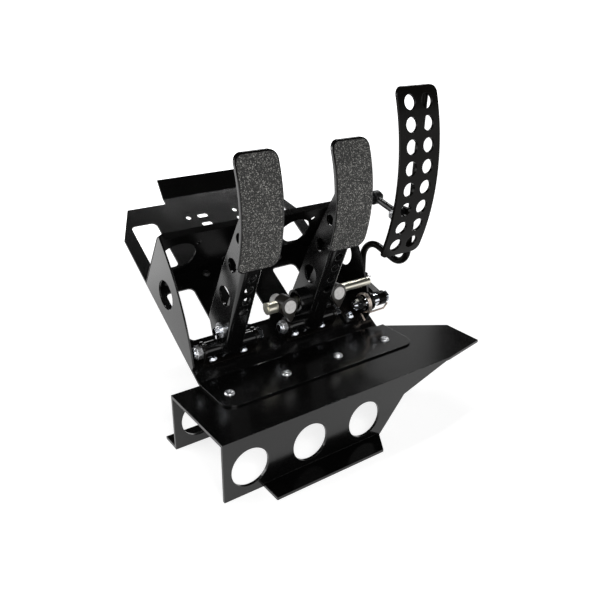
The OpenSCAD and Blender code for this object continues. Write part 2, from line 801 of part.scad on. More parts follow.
module wall_bolts() {
    color([0.75, 0.75, 0.78]) on_tray() wall_bolt_places() translate([0, 0, wall_sheet])
        button_bolt(
            wall_sheet + tray_sheet + wall_bolt_diameter + thread_end, wall_bolt_diameter / 2,
            wall_head_radius, bolt_head_height);
}

module wall_nuts() {
    color([0.7, 0.7, 0.72]) on_tray() wall_bolt_places() translate([0, 0, -tray_sheet])
        under_nut(wall_nut_across, wall_nut_height, wall_bolt_diameter / 2 + running_clearance);
}

// Places of the bolts that hold the three brackets on the floor.
module bracket_bolt_places() {
    for (centre = [clutch_centre, brake_centre], side = [-1, 1])
        translate([centre + side * bracket_bolt_offset, pivot_distance - bracket_bolt_forward, 0]) children();
    translate([inner_lug - throttle_bolt_offset, pivot_distance - bracket_bolt_forward, 0]) children();
}

// Side view of a bracket lug standing on the floor, with the hole for the axis.
module lug_outline(radius, hole) {
    difference() {
        union() {
            translate([pivot_distance, pivot_height]) circle(radius);
            translate([pivot_distance - radius, 0]) square([2 * radius, pivot_height]);
        }
        translate([pivot_distance, pivot_height]) circle(hole);
    }
}

// A U-shaped bracket that carries a pedal's pivot bolt.
module pedal_bracket(centre) {
    on_tray() {
        difference() {
            translate([centre - bracket_half_width, pivot_distance - bracket_half_depth, 0])
                cube([2 * bracket_half_width, 2 * bracket_half_depth, bracket_sheet]);
            bracket_bolt_places() translate([0, 0, -cut])
                cylinder(h = bracket_sheet + 2 * cut, r = bolt_diameter / 2 + bolt_clearance);
        }
        for (start = [centre - bracket_half_width, centre + bracket_half_width - bracket_sheet])
            across(start, bracket_sheet) lug_outline(lug_radius, bolt_radius + running_clearance);
    }
}

module clutch_bracket() {
    color([0.06, 0.06, 0.07]) pedal_bracket(clutch_centre);
}

module brake_bracket() {
    color([0.06, 0.06, 0.07]) pedal_bracket(brake_centre);
}

module throttle_bracket() {
    color([0.06, 0.06, 0.07]) on_tray() {
        across(inner_lug, inner_lug_sheet) lug_outline(lug_radius, shaft_radius + running_clearance);
        difference() {
            translate([inner_lug - throttle_foot, pivot_distance - bracket_half_depth, 0])
                cube([throttle_foot + inner_lug_sheet, 2 * bracket_half_depth, bracket_sheet]);
            bracket_bolt_places() translate([0, 0, -cut])
                cylinder(h = bracket_sheet + 2 * cut, r = bolt_diameter / 2 + bolt_clearance);
        }
    }
}

module bracket_bolts() {
    color([0.8, 0.8, 0.82]) on_tray() bracket_bolt_places() translate([0, 0, bracket_sheet])
        button_bolt(
            bracket_sheet + tray_sheet + nut_height + thread_end, bolt_diameter / 2,
            bolt_head_diameter / 2, bolt_head_height);
}

module bracket_nuts() {
    color([0.7, 0.7, 0.72]) on_tray() bracket_bolt_places() translate([0, 0, -tray_sheet])
        under_nut(nut_across, nut_height, bolt_diameter / 2 + running_clearance);
}

module pivot_bolts() {
    length = 2 * bracket_half_width + 2 * washer_sheet + pivot_nut_height + thread_end;
    color([0.78, 0.78, 0.8]) on_pivot() for (centre = [clutch_centre, brake_centre]) {
        right = centre + bracket_half_width + washer_sheet;
        cross_bar(right - length, length, bolt_radius);
        cross_hexagon(right, pivot_head_height, pivot_nut_across);
    }
}

module pivot_nuts() {
    collar = 0.3 * pivot_nut_height;
    color([0.72, 0.72, 0.75]) on_pivot() for (centre = [clutch_centre, brake_centre]) {
        left = centre - bracket_half_width - washer_sheet - pivot_nut_height;
        difference() {
            union() {
                cross_hexagon(left + collar, pivot_nut_height - collar, pivot_nut_across);
                cross_bar(left, pivot_nut_height, pivot_nut_across * 0.45);
            }
            cross_bar(left - cut, pivot_nut_height + 2 * cut, bolt_radius + running_clearance);
        }
    }
}

module pivot_washers() {
    color([0.72, 0.72, 0.75]) on_pivot() for (centre = [clutch_centre, brake_centre])
        for (start = [centre - bracket_half_width - washer_sheet, centre + bracket_half_width])
            difference() {
                cross_bar(start, washer_sheet, washer_radius);
                cross_bar(start - cut, washer_sheet + 2 * cut, bolt_radius + running_clearance);
            }
}

module pivot_spacers() {
    length = bracket_half_width - bracket_sheet - tube_half - face_gap;
    color([0.72, 0.72, 0.7]) on_pivot() for (centre = [clutch_centre, brake_centre])
        for (start = [centre - tube_half - face_gap - length, centre + tube_half + face_gap])
            difference() {
                cross_bar(start, length, spacer_diameter / 2);
                cross_bar(start - cut, length + 2 * cut, bolt_radius + running_clearance);
            }
}

// Side view of a pedal arm above its round foot, along and above the tray's floor from the pivot axis.
module arm_outline() {
    foot = arm_foot_radius + join_step;
    polygon([
        [0, 0], foot * [-cos(arm_lean), sin(arm_lean)], [-arm_front_top, arm_length],
        [arm_top_depth, arm_length], [arm_middle_depth, arm_middle], [arm_low_depth, arm_low],
        foot * [cos(low_angle), sin(low_angle)]
    ]);
}

// Side view of the space in front of the pads' back.
module pad_space_outline() {
    difference() {
        translate([pad_front - through / 2, pad_contact]) square([through, through / 2]);
        translate([pad_front + pad_radius, pad_middle]) circle(pad_back_radius);
    }
}

// Runs a drawing along the front edge of a pedal arm: Z up the edge, Y into the arm.
module on_arm_front() {
    placed() translate([0, pivot_y, pivot_z]) rotate([tray_angle - arm_lean, 0, 0])
        translate([0, -arm_foot_radius, 0]) children();
}

// Outline cut from the corner of a bent sheet, with the corner in the middle and the sheet behind it.
module corner_waste_outline() {
    difference() {
        translate([-cut, -cut]) square(arm_bend_radius + cut);
        translate([arm_bend_radius, arm_bend_radius]) circle(arm_bend_radius + join_step);
    }
}

// The waste along the front edge of a pedal arm, on the left or the right.
module arm_corner_waste(centre, side) {
    translate([centre + side * arm_half, 0, 0]) mirror([(side + 1) / 2, 0, 0])
        linear_extrude(arm_length) corner_waste_outline();
}

// A channel-shaped pedal arm, open at the rear; the drawings given as children are bored through its sides.
module pedal_arm(centre) {
    inner = arm_width - 2 * arm_sheet;
    difference() {
        on_pivot() {
            cross_bar(centre - arm_half, arm_width, arm_foot_radius);
            across(centre - arm_half, arm_width) arm_outline();
        }
        placed() across(centre - arm_width, 2 * arm_width) pad_space_outline();
        on_pivot() across(centre - inner / 2, inner) rotate(-arm_lean)
            translate([arm_sheet - arm_foot_radius, -through / 2]) square(through);
        on_pivot() {
            cross_bar(centre - arm_width, 2 * arm_width, tube_radius + running_clearance);
            for (hole = arm_holes) translate([0, hole[0], hole[1]])
                cross_bar(centre - arm_width, 2 * arm_width, hole[2] * arm_hole_diameter / 2);
        }
        on_arm_front() {
            for (side = [-1, 1]) arm_corner_waste(centre, side);
            for (i = [0 : web_hole_count - 1])
                translate([centre, -cut, web_hole_first + i * web_hole_pitch]) rotate([-90, 0, 0])
                    cylinder(h = arm_sheet + 2 * cut, d = web_hole_diameter);
        }
        children();
    }
}

module clutch_arm() {
    color([0.05, 0.05, 0.06]) pedal_arm(clutch_centre)
        on_pivot() translate([0, pin_along, pin_up])
            cross_bar(clutch_centre - arm_width, 2 * arm_width, pin_diameter / 2 + running_clearance);
}

module brake_arm() {
    color([0.05, 0.05, 0.06]) pedal_arm(brake_centre)
        on_pivot() translate([0, bar_along, bar_up])
            cross_bar(brake_centre - arm_width, 2 * arm_width, housing_diameter / 2 + running_clearance);
}

// A curved sheet with round corners whose front is at the given radius behind its own axis.
module curved_sheet(centre, front, middle, radius, sheet, width, height, corner) {
    axis = front + radius;
    intersection() {
        across(centre - width / 2, width) translate([axis, middle]) difference() {
            circle(radius, $fn = 240);
            circle(radius - sheet, $fn = 240);
        }
        translate([0, front + height / 2, 0]) rotate([90, 0, 0]) linear_extrude(height)
            round_rectangle([centre - width / 2, middle - height / 2], [width, height], corner);
    }
}

module pedal_pad(centre) {
    placed() curved_sheet(
        centre, pad_front + grip_sheet, pad_middle, pad_radius - grip_sheet, pad_sheet,
        pad_width, pad_height, pad_corner);
}

module pedal_grip(centre) {
    placed() curved_sheet(
        centre, pad_front, pad_middle, pad_radius, grip_sheet,
        pad_width - 2 * grip_margin, pad_height - 2 * grip_margin, pad_corner - grip_margin);
}

module clutch_pad() {
    color([0.06, 0.06, 0.06]) pedal_pad(clutch_centre);
}

module brake_pad() {
    color([0.06, 0.06, 0.06]) pedal_pad(brake_centre);
}

module clutch_grip() {
    color([0.12, 0.12, 0.12]) pedal_grip(clutch_centre);
}

module brake_grip() {
    color([0.12, 0.12, 0.12]) pedal_grip(brake_centre);
}

module pivot_tube(centre) {
    on_pivot() difference() {
        cross_bar(centre - tube_half, 2 * tube_half, tube_radius);
        cross_bar(centre - tube_half - cut, 2 * tube_half + 2 * cut, bush_radius + running_clearance);
    }
}

module bushes(centre) {
    on_pivot() for (start = [centre - tube_half, centre + tube_half - bush_length]) difference() {
        cross_bar(start, bush_length, bush_radius);
        cross_bar(start - cut, bush_length + 2 * cut, bolt_radius + running_clearance);
    }
}

module clutch_pivot_tube() {
    color([0.07, 0.07, 0.08]) pivot_tube(clutch_centre);
}

module brake_pivot_tube() {
    color([0.07, 0.07, 0.08]) pivot_tube(brake_centre);
}

module clutch_bushes() {
    color([0.7, 0.5, 0.25]) bushes(clutch_centre);
}

module brake_bushes() {
    color([0.7, 0.5, 0.25]) bushes(brake_centre);
}

module clutch_clevis_pin() {
    left = clutch_centre - arm_half - pin_end;
    head = 3;
    color([0.78, 0.78, 0.8]) on_pivot() translate([0, pin_along, pin_up]) difference() {
        union() {
            cross_bar(left, pin_end + arm_width, pin_diameter / 2);
            cross_bar(clutch_centre + arm_half, head, 0.75 * pin_diameter);
        }
        translate([left + pin_end / 3, 0, 0])
            cylinder(h = 2 * pin_diameter, r = split_wire + running_clearance, center = true);
    }
}

module clutch_pin_washer() {
    start = clutch_centre - arm_half - washer_sheet;
    color([0.75, 0.75, 0.77]) on_pivot() translate([0, pin_along, pin_up]) difference() {
        cross_bar(start, washer_sheet, pin_diameter);
        cross_bar(start - cut, washer_sheet + 2 * cut, pin_diameter / 2 + running_clearance);
    }
}

// A split pin through a pin of the given radius: an eye above it and two bent legs below it.
module split_pin(radius) {
    eye = 2.2;
    eye_share = 0.9;
    leg = 5;
    leg_share = 0.75;
    spread = 50;
    end = radius + split_wire;
    translate([0, 0, -end]) cylinder(h = 2 * end, r = split_wire);
    translate([0, 0, end + eye]) rotate([90, 0, 0])
        rotate_extrude() translate([eye, 0]) circle(eye_share * split_wire);
    for (side = [-1, 1])
        translate([0, 0, -end]) rotate([side * spread, 0, 0]) translate([0, 0, -leg])
            cylinder(h = leg, r = leg_share * split_wire);
    translate([0, 0, -end]) sphere(split_wire);
}

module clutch_split_pin() {
    color([0.8, 0.8, 0.8]) on_pivot()
        translate([clutch_centre - arm_half - pin_end * 2 / 3, pin_along, pin_up])
            split_pin(pin_diameter / 2);
}

module bar_housing() {
    half = arm_half + housing_extra;
    color([0.08, 0.08, 0.09]) on_pivot() translate([0, bar_along, bar_up]) difference() {
        cross_bar(brake_centre - half, 2 * half, housing_diameter / 2);
        cross_bar(brake_centre - half - cut, 2 * half + 2 * cut, housing_bore / 2);
    }
}

// Sets a drawing on the balance bar's axis.
module on_bar() {
    on_tray() translate([0, bar_distance, bar_height]) children();
}

module balance_bar() {
    left = brake_centre - bar_left;
    color([0.8, 0.78, 0.72]) on_bar() cross_bar(left, bar_right - left, bar_radius);
}

module bar_bearing() {
    color([0.8, 0.8, 0.8]) on_bar() difference() {
        translate([brake_centre, 0, 0]) rotate([0, 90, 0]) sphere(housing_bore / 2 - running_clearance);
        cross_bar(brake_centre - housing_bore, 2 * housing_bore, bar_radius + running_clearance);
    }
}

module bar_trunnions() {
    half = trunnion_depth / 2;
    side = trunnion_radius * cos(asin(trunnion_radius / trunnion_point));
    low = trunnion_radius * trunnion_radius / trunnion_point;
    color([0.05, 0.05, 0.06]) on_bar() for (x = trunnions) difference() {
        translate([x, half, 0]) rotate([90, 0, 0]) linear_extrude(trunnion_depth) union() {
            circle(trunnion_radius);
            polygon([[-side, -low], [0, -trunnion_point], [side, -low]]);
        }
        cross_bar(x - 2 * trunnion_radius, 4 * trunnion_radius, bar_radius + running_clearance);
        translate([x, 0, 0]) rotate([90, 0, 0])
            cylinder(h = 2 * trunnion_depth, d = socket_diameter + 2 * running_clearance, center = true);
    }
}

module push_rod_sockets() {
    front = trunnion_depth / 2 + socket_step;
    back = trunnion_depth / 2 + socket_length;
    depth = socket_length - socket_floor;
    color([0.8, 0.8, 0.8]) on_bar() for (x = trunnions) difference() {
        translate([x, back, 0]) rotate([90, 0, 0]) cylinder(h = front + back, d = socket_diameter);
        cross_bar(x - socket_diameter, 2 * socket_diameter, bar_radius + running_clearance);
        translate([x, back + cut, 0]) rotate([90, 0, 0]) cylinder(h = depth + cut, d = push_rod_diameter);
    }
}

module bar_end_nut() {
    start = trunnions[0] - trunnion_radius - face_gap - nut_length;
    color([0.75, 0.74, 0.7]) on_bar() difference() {
        cross_bar(start, nut_length, bar_radius + nut_wall);
        cross_bar(start - cut, nut_length + 2 * cut, bar_radius + running_clearance);
    }
}

// Sets a drawing on the middle of the rod's lower bend, leaning like the throttle plate.
module on_lower_bend() {
    placed() translate([0, lower_bend[0], lower_bend[1]]) rotate([throttle_lean, 0, 0]) children();
}

module throttle_plate() {
    axis = throttle_radius - plate_depth;
    color([0.06, 0.06, 0.06]) on_lower_bend() difference() {
        curved_sheet(
            throttle_centre, -plate_depth, plate_rise, throttle_radius, throttle_sheet,
            throttle_width, throttle_height, throttle_corner);
        for (row = [0 : throttle_rows - 1], side = [-1, 1]) {
            turn = (row - (throttle_rows - 1) / 2) * throttle_row_pitch / throttle_radius * 180 / PI;
            translate([throttle_centre + side * throttle_column_pitch / 2, axis, plate_rise])
                rotate([90 - turn, 0, 0]) translate([0, 0, throttle_radius - 2 * throttle_sheet])
                    cylinder(h = 4 * throttle_sheet, d = throttle_hole_diameter);
        }
    }
}

// A bend of the throttle rod in its own upright plane, from one angle to another.
module rod_bend(centre, radius, from, turn) {
    translate([rod_centre, centre[0], centre[1]]) rotate([0, 90, 0]) rotate([0, 0, 90]) rotate([0, 0, from])
        rotate_extrude(angle = turn) translate([radius, 0]) circle(rod_radius);
}

module throttle_rod() {
    run = bend_end - bend_start;
    color([0.06, 0.06, 0.06]) {
        on_lower_bend() {
            translate([rod_centre, -lower_bend_radius, -rod_overlap])
                cylinder(h = rod_length + rod_overlap, r = rod_radius + join_step);
            difference() {
                across(tab_start, tab_sheet) union() {
                    translate([link_depth, link_rise_on_rod]) circle(eye_radius);
                    translate([-lower_bend_radius, link_rise_on_rod - eye_radius])
                        square([link_setback, 2 * eye_radius]);
                }
                translate([0, link_depth, link_rise_on_rod])
                    cross_bar(tab_start - cut, tab_sheet + 2 * cut, link_bolt_radius + running_clearance);
            }
        }
        placed() {
            rod_bend(lower_bend, lower_bend_radius, 180 + throttle_lean, 90 + bend_slope - throttle_lean);
            translate([rod_centre, bend_start[0], bend_start[1]]) rotate([bend_slope - 90, 0, 0])
                translate([0, 0, -rod_overlap])
                    cylinder(h = norm(run) + 2 * rod_overlap, r = rod_radius + join_step);
            rod_bend(upper_bend, upper_bend_radius, 0, 90 + bend_slope);
            difference() {
                translate([rod_centre, rod_end_y, rod_end_z])
                    cylinder(h = upper_bend_height - rod_end_z, r = rod_radius);
                split_pin_bore();
            }
        }
    }
}

// Sets a drawing on the split pin that holds the rod in the lever, with its Z to the left.
module on_rod_pin() {
    translate([rod_centre, rod_end_y, rod_end_z + rod_pin_height]) rotate([0, -90, 0]) children();
}

module split_pin_bore() {
    on_rod_pin() cylinder(h = 4 * socket_radius, r = split_wire + running_clearance, center = true);
}

module throttle_lever() {
    rise = atan2(rod_end_height, rod_drop_distance);
    color([0.06, 0.06, 0.06]) placed() difference() {
        union() {
            translate([0, pivot_y, pivot_z]) cross_bar(lever_start, lever_end - lever_start, hub_radius);
            across(rod_centre - lever_width / 2, lever_width) translate([pivot_y, pivot_z]) rotate(rise)
                translate([0, -hub_radius])
                    square([norm([rod_drop_distance, rod_end_height]), 2 * hub_radius - socket_wall]);
            translate([rod_centre, rod_end_y, rod_end_z - socket_wall])
                cylinder(h = socket_height, r = socket_radius);
        }
        translate([rod_centre, rod_end_y, rod_end_z])
            cylinder(h = through, r = rod_radius + running_clearance);
        translate([0, pivot_y, pivot_z]) cross_bar(0, through, stud_radius + running_clearance);
        split_pin_bore();
    }
}

module throttle_shaft() {
    left = inner_lug - face_gap;
    collar = tray_right + face_gap;
    color([0.75, 0.75, 0.78]) placed() translate([0, pivot_y, pivot_z]) {
        cross_bar(left - stud_reach, lever_end - left + 2 * stud_reach, stud_radius);
        cross_bar(left, lever_start - left, shaft_radius);
        cross_bar(collar, lever_start - collar, hub_radius - shaft_step);
    }
}

// A dome nut across the part: its hexagon starts at the given face and its dome points the given way.
module dome_nut(face, way) {
    hexagon = 0.65 * dome_height;
    flats = 3.2 * stud_radius;
    bore = stud_reach + bolt_clearance;
    difference() {
        union() {
            cross_hexagon(min(face, face + way * hexagon), hexagon, flats);
            translate([face + way * hexagon, 0, 0]) rotate([0, way * 90, 0])
                cylinder(h = dome_height - hexagon, r1 = flats * 0.46, r2 = flats * 0.25);
        }
        cross_bar(face + min(0, way * bore), bore, stud_radius + running_clearance);
    }
}

module shaft_nuts() {
    color([0.8, 0.8, 0.82]) placed() translate([0, pivot_y, pivot_z]) {
        dome_nut(inner_lug - face_gap, -1);
        dome_nut(lever_end, 1);
    }
}

module throttle_split_pin() {
    color([0.8, 0.8, 0.8]) placed() on_rod_pin() split_pin(socket_radius);
}

// Points of a circle of wire round a point of the coil.
function wire_ring(centre, outward, radius, sides) =
    [for (i = [0 : sides - 1]) centre + radius * cos(360 * i / sides) * outward
        + radius * sin(360 * i / sides) * [1, 0, 0]];

// A straight piece of wire with round ends.
module wire(first, last, radius) {
    run = last - first;
    translate(first) {
        rotate([0, acos(run[2] / norm(run)), atan2(run[1], run[0])]) cylinder(h = norm(run), r = radius);
        sphere(radius);
    }
    translate(last) sphere(radius);
}

module throttle_return_spring() {
    sides = 10;
    steps = 24;
    last = spring_turns * steps;
    rings = [for (i = [0 : last])
        let (turn = 360 * i / steps - 90, outward = [0, cos(turn), sin(turn)])
        wire_ring([spring_start + spring_pitch * i / steps, 0, 0] + spring_radius * outward,
            outward, spring_wire / 2, sides)];
    points = [for (ring = rings) for (point = ring) point];
    walls = [for (i = [0 : last - 1], j = [0 : sides - 1])
        let (next = (j + 1) % sides)
        [i * sides + j, i * sides + next, (i + 1) * sides + next, (i + 1) * sides + j]];
    ends = [[for (j = [sides - 1 : -1 : 0]) j], [for (j = [0 : sides - 1]) last * sides + j]];
    front = -ear_radius - spring_wire / 2 - face_gap;
    hook = rod_centre;
    hook_low = -4;
    hook_high = 6;
    leg_forward = -15;
    color([0.65, 0.5, 0.4]) on_pivot() {
        polyhedron(points, concat(walls, ends), convexity = 8);
        wire([spring_start, spring_wire / 2, -spring_radius],
            [spring_start, leg_forward, spring_wire / 2 + weld_gap - pivot_height], spring_wire / 2);
        wire([spring_end, -spring_radius, 0], [spring_end, front, hook_low], spring_wire / 2);
        wire([spring_end, front, hook_low], [hook, front, hook_low], spring_wire / 2);
        wire([hook, front, hook_low], [hook, front, hook_high], spring_wire / 2);
    }
}

module link_bolt() {
    left = link_centre - eye_half - face_gap - link_bolt_diameter - thread_end;
    color([0.78, 0.78, 0.8]) placed() translate([0, link_y, link_height]) {
        cross_bar(left, tab_end - left, link_bolt_radius);
        cross_hexagon(tab_end, link_head_height, link_head_across);
    }
}

module link_nut() {
    start = link_centre - eye_half - face_gap - link_nut_height;
    color([0.75, 0.75, 0.78]) placed() translate([0, link_y, link_height]) difference() {
        cross_hexagon(start, link_nut_height, link_nut_across);
        cross_bar(start - cut, link_bolt_diameter + 2 * cut, link_bolt_radius + running_clearance);
    }
}

module throttle_link() {
    color([0.1, 0.1, 0.11]) placed() difference() {
        union() {
            for (place = [[link_y, link_height], [link_far_y, link_far_z]])
                translate([0, place[0], place[1]]) cross_bar(link_centre - eye_half, eye_width, eye_radius);
            translate([link_centre, link_y, link_height]) rotate([link_rise - 90, 0, 0])
                cylinder(h = link_length, d = link_rod_diameter);
        }
        for (place = [[link_y, link_height], [link_far_y, link_far_z]])
            translate([0, place[0], place[1]]) cross_bar(0, through, link_bolt_radius + running_clearance);
    }
}

module link_end_bolt() {
    right = link_centre + eye_half;
    left = link_centre - eye_half - link_bolt_diameter - thread_end;
    color([0.4, 0.4, 0.42]) placed() translate([0, link_far_y, link_far_z]) {
        cross_bar(left, right - left, link_bolt_radius);
        cross_hexagon(right, link_head_height, link_head_across);
    }
}

module link_end_nut() {
    start = link_centre - eye_half - link_nut_height;
    color([0.7, 0.72, 0.78]) placed() translate([0, link_far_y, link_far_z]) difference() {
        cross_hexagon(start, link_nut_height, link_nut_across);
        cross_bar(start - cut, link_bolt_diameter + 2 * cut, link_bolt_radius + running_clearance);
    }
}

floor_stand();
base_tray();
cylinder_wall();
stand_bolts();
stand_nuts();
wall_bolts();
wall_nuts();
clutch_bracket();
brake_bracket();
throttle_bracket();
bracket_bolts();
bracket_nuts();
pivot_bolts();
pivot_nuts();
pivot_washers();
pivot_spacers();
throttle_return_spring();
clutch_arm();
clutch_pad();
clutch_grip();
clutch_pivot_tube();
clutch_bushes();
clutch_clevis_pin();
clutch_pin_washer();
clutch_split_pin();
brake_arm();
brake_pad();
brake_grip();
brake_pivot_tube();
brake_bushes();
bar_housing();
balance_bar();
bar_bearing();
bar_trunnions();
push_rod_sockets();
bar_end_nut();
throttle_plate();
throttle_rod();
throttle_lever();
throttle_shaft();
shaft_nuts();
throttle_split_pin();
link_bolt();
link_nut();
throttle_link();
link_end_bolt();
link_end_nut();
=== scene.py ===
"""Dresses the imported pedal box: materials, small finer pieces, studio light and the camera."""
import json
import math

import bmesh
import bpy
from mathutils import Matrix, Vector


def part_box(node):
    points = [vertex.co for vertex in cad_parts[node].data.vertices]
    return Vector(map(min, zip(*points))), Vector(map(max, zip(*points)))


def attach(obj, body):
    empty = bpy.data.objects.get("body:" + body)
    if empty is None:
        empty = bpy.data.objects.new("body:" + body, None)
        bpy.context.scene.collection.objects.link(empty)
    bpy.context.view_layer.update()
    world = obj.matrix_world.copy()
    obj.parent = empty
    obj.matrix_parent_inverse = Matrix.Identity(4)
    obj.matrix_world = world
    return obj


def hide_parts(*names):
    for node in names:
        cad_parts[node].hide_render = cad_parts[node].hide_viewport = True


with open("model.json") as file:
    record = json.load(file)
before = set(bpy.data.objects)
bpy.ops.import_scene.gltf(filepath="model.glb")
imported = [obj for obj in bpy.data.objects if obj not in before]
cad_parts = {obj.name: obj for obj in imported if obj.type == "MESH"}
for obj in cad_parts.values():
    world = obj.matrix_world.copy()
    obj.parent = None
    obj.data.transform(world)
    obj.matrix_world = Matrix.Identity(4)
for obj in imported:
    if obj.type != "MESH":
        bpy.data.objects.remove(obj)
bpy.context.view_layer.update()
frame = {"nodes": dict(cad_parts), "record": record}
nodes = frame["nodes"]


# Material helpers

def new_material(name):
    """A new node material with its tree and its shader."""
    material = bpy.data.materials.new(name)
    material.use_nodes = True
    return material, material.node_tree, material.node_tree.nodes["Principled BSDF"]


def own_place(tree, stretch=1.0):
    """The part's own coordinates, drawn out along X by a stretch below 1."""
    coords = tree.nodes.new("ShaderNodeTexCoord")
    mapping = tree.nodes.new("ShaderNodeMapping")
    mapping.inputs["Scale"].default_value = (stretch, 1.0, 1.0)
    tree.links.new(coords.outputs["Object"], mapping.inputs["Vector"])
    return mapping.outputs["Vector"]


def noise(tree, place, scale, detail=3.0, fineness=0.6):
    """A noise field at the given place."""
    node = tree.nodes.new("ShaderNodeTexNoise")
    node.inputs["Scale"].default_value = scale
    node.inputs["Detail"].default_value = detail
    node.inputs["Roughness"].default_value = fineness
    tree.links.new(place, node.inputs["Vector"])
    return node.outputs["Fac"]


def ramp(tree, source, *stops):
    """A colour ramp through stops of a position and a colour."""
    node = tree.nodes.new("ShaderNodeValToRGB")
    elements = node.color_ramp.elements
    while len(elements) < len(stops):
        elements.new(0.5)
    for element, (position, colour) in zip(elements, stops):
        element.position = position
        element.color = (*colour, 1.0)
    tree.links.new(source, node.inputs["Fac"])
    return node.outputs["Color"]


def rounded_normal(tree, radius, height, strength, distance):
    """A bump of the given height field on normals that are rounded at the edges."""
    bevel = tree.nodes.new("ShaderNodeBevel")
    bevel.samples = 4
    bevel.inputs["Radius"].default_value = radius
    bump = tree.nodes.new("ShaderNodeBump")
    bump.inputs["Strength"].default_value = strength
    bump.inputs["Distance"].default_value = distance
    tree.links.new(height, bump.inputs["Height"])
    tree.links.new(bevel.outputs["Normal"], bump.inputs["Normal"])
    return bump.outputs["Normal"]


def grey(value):
    """A neutral colour."""
    return (value, value, value)


def coat(name, low, high, rough, peel, specular=0.5):
    """Black powder coat between two colours and two roughnesses, with a fine orange-peel surface."""
    cloud_scale, gloss_scale, peel_scale = 14.0, 40.0, 800.0
    edge_radius, peel_depth = 0.0007, 0.0002
    material, tree, shader = new_material(name)
    place = own_place(tree)
    clouds = noise(tree, place, cloud_scale, detail=4.0)
    tree.links.new(ramp(tree, clouds, (0.35, low), (0.7, high)), shader.inputs["Base Color"])
    wear = noise(tree, place, gloss_scale, detail=5.0, fineness=0.65)
    gloss = ramp(tree, wear, (0.3, grey(rough[0])), (0.72, grey(rough[1])))
    tree.links.new(gloss, shader.inputs["Roughness"])
    pores = noise(tree, place, peel_scale, detail=2.0, fineness=0.5)
    normal = rounded_normal(tree, edge_radius, pores, peel, peel_depth)
    tree.links.new(normal, shader.inputs["Normal"])
    shader.inputs["Specular IOR Level"].default_value = specular
    return material


def metal(name, low, high, rough, scratch=0.02, stretch=1.0, metallic=1.0):
    """Plated or ground metal with a faint uneven tint and fine marks, drawn out where it was ground."""
    tint_scale, gloss_scale, scratch_scale = 300.0, 260.0, 1400.0
    edge_radius, scratch_depth = 0.0004, 0.0001
    material, tree, shader = new_material(name)
    place = own_place(tree, stretch)
    stain = noise(tree, place, tint_scale)
    tree.links.new(ramp(tree, stain, (0.3, low), (0.7, high)), shader.inputs["Base Color"])
    wear = noise(tree, place, gloss_scale)
    gloss = ramp(tree, wear, (0.3, grey(rough[0])), (0.7, grey(rough[1])))
    tree.links.new(gloss, shader.inputs["Roughness"])
    shader.inputs["Metallic"].default_value = metallic
    marks = noise(tree, place, scratch_scale, detail=2.0, fineness=0.5)
    normal = rounded_normal(tree, edge_radius, marks, scratch, scratch_depth)
    tree.links.new(normal, shader.inputs["Normal"])
    return material


def grit(name):
    """Grit facing: near-black binder full of small grains, some of them pale."""
    grain_scale, grain_depth, cloud_scale = 1400.0, 0.0005, 45.0
    binder, dark_grain = grey(0.003), (0.012, 0.012, 0.011)
    mid_grain, pale_grain = (0.045, 0.0445, 0.0415), (0.32, 0.315, 0.295)
    material, tree, shader = new_material(name)
    place = own_place(tree)
    grain = tree.nodes.new("ShaderNodeTexVoronoi")
    grain.inputs["Scale"].default_value = grain_scale
    tree.links.new(place, grain.inputs["Vector"])
    split = tree.nodes.new("ShaderNodeSeparateColor")
    tree.links.new(grain.outputs["Color"], split.inputs["Color"])
    specks = ramp(tree, split.outputs["Red"], (0.0, binder), (0.5, dark_grain), (0.8, mid_grain),
                  (1.0, pale_grain))
    worn = noise(tree, place, cloud_scale, detail=4.0)
    clouds = ramp(tree, worn, (0.3, grey(0.75)), (0.75, grey(1.1)))
    mix = tree.nodes.new("ShaderNodeMix")
    mix.data_type = "RGBA"
    mix.blend_type = "MULTIPLY"
    mix.inputs["Factor"].default_value = 1.0
    tree.links.new(specks, mix.inputs["A"])
    tree.links.new(clouds, mix.inputs["B"])
    tree.links.new(mix.outputs["Result"], shader.inputs["Base Color"])
    shader.inputs["Roughness"].default_value = 0.7
    bump = tree.nodes.new("ShaderNodeBump")
    bump.inputs["Strength"].default_value = 0.9
    bump.inputs["Distance"].default_value = grain_depth
    tree.links.new(grain.outputs["Distance"], bump.inputs["Height"])
    tree.links.new(bump.outputs["Normal"], shader.inputs["Normal"])
    return material


# One material for each slot of the record, and three for single nodes and pieces

materials = {
    "powder_coat": coat("powder_coat", grey(0.0018), grey(0.0032), rough=(0.14, 0.2), peel=0.03),
    "arm_coat": coat("arm_coat", grey(0.0018), grey(0.003), rough=(0.13, 0.2), peel=0.03),
    "bracket_coat": coat("bracket_coat", (0.0024, 0.0021, 0.0018), (0.004, 0.0035, 0.003),
                         rough=(0.12, 0.2), peel=0.04),
    "throttle_coat": coat("throttle_coat", (0.0024, 0.0022, 0.0018), (0.004, 0.0037, 0.0032),
                          rough=(0.18, 0.26), peel=0.04, specular=0.07),
    "dark_steel": coat("dark_steel", grey(0.003), grey(0.006), rough=(0.32, 0.42), peel=0.05),
    "grit": grit("grit"),
    "zinc": metal("zinc", (0.8, 0.81, 0.83), (0.92, 0.93, 0.95), rough=(0.24, 0.36)),
    "chrome": metal("chrome", (0.68, 0.71, 0.76), (0.8, 0.83, 0.88), rough=(0.08, 0.15)),
    "bar_steel": metal("bar_steel", (0.62, 0.6, 0.5), (0.82, 0.8, 0.69),
                       rough=(0.28, 0.4), scratch=0.03, stretch=0.03),
    "bronze": metal("bronze", (0.36, 0.22, 0.09), (0.5, 0.32, 0.14), rough=(0.3, 0.45)),
    "spring_steel": metal("spring_steel", (0.6, 0.51, 0.45), (0.76, 0.68, 0.62), rough=(0.24, 0.36)),
}
wall_coat = coat("wall_coat", grey(0.0018), grey(0.003), rough=(0.2, 0.28), peel=0.03, specular=0.04)
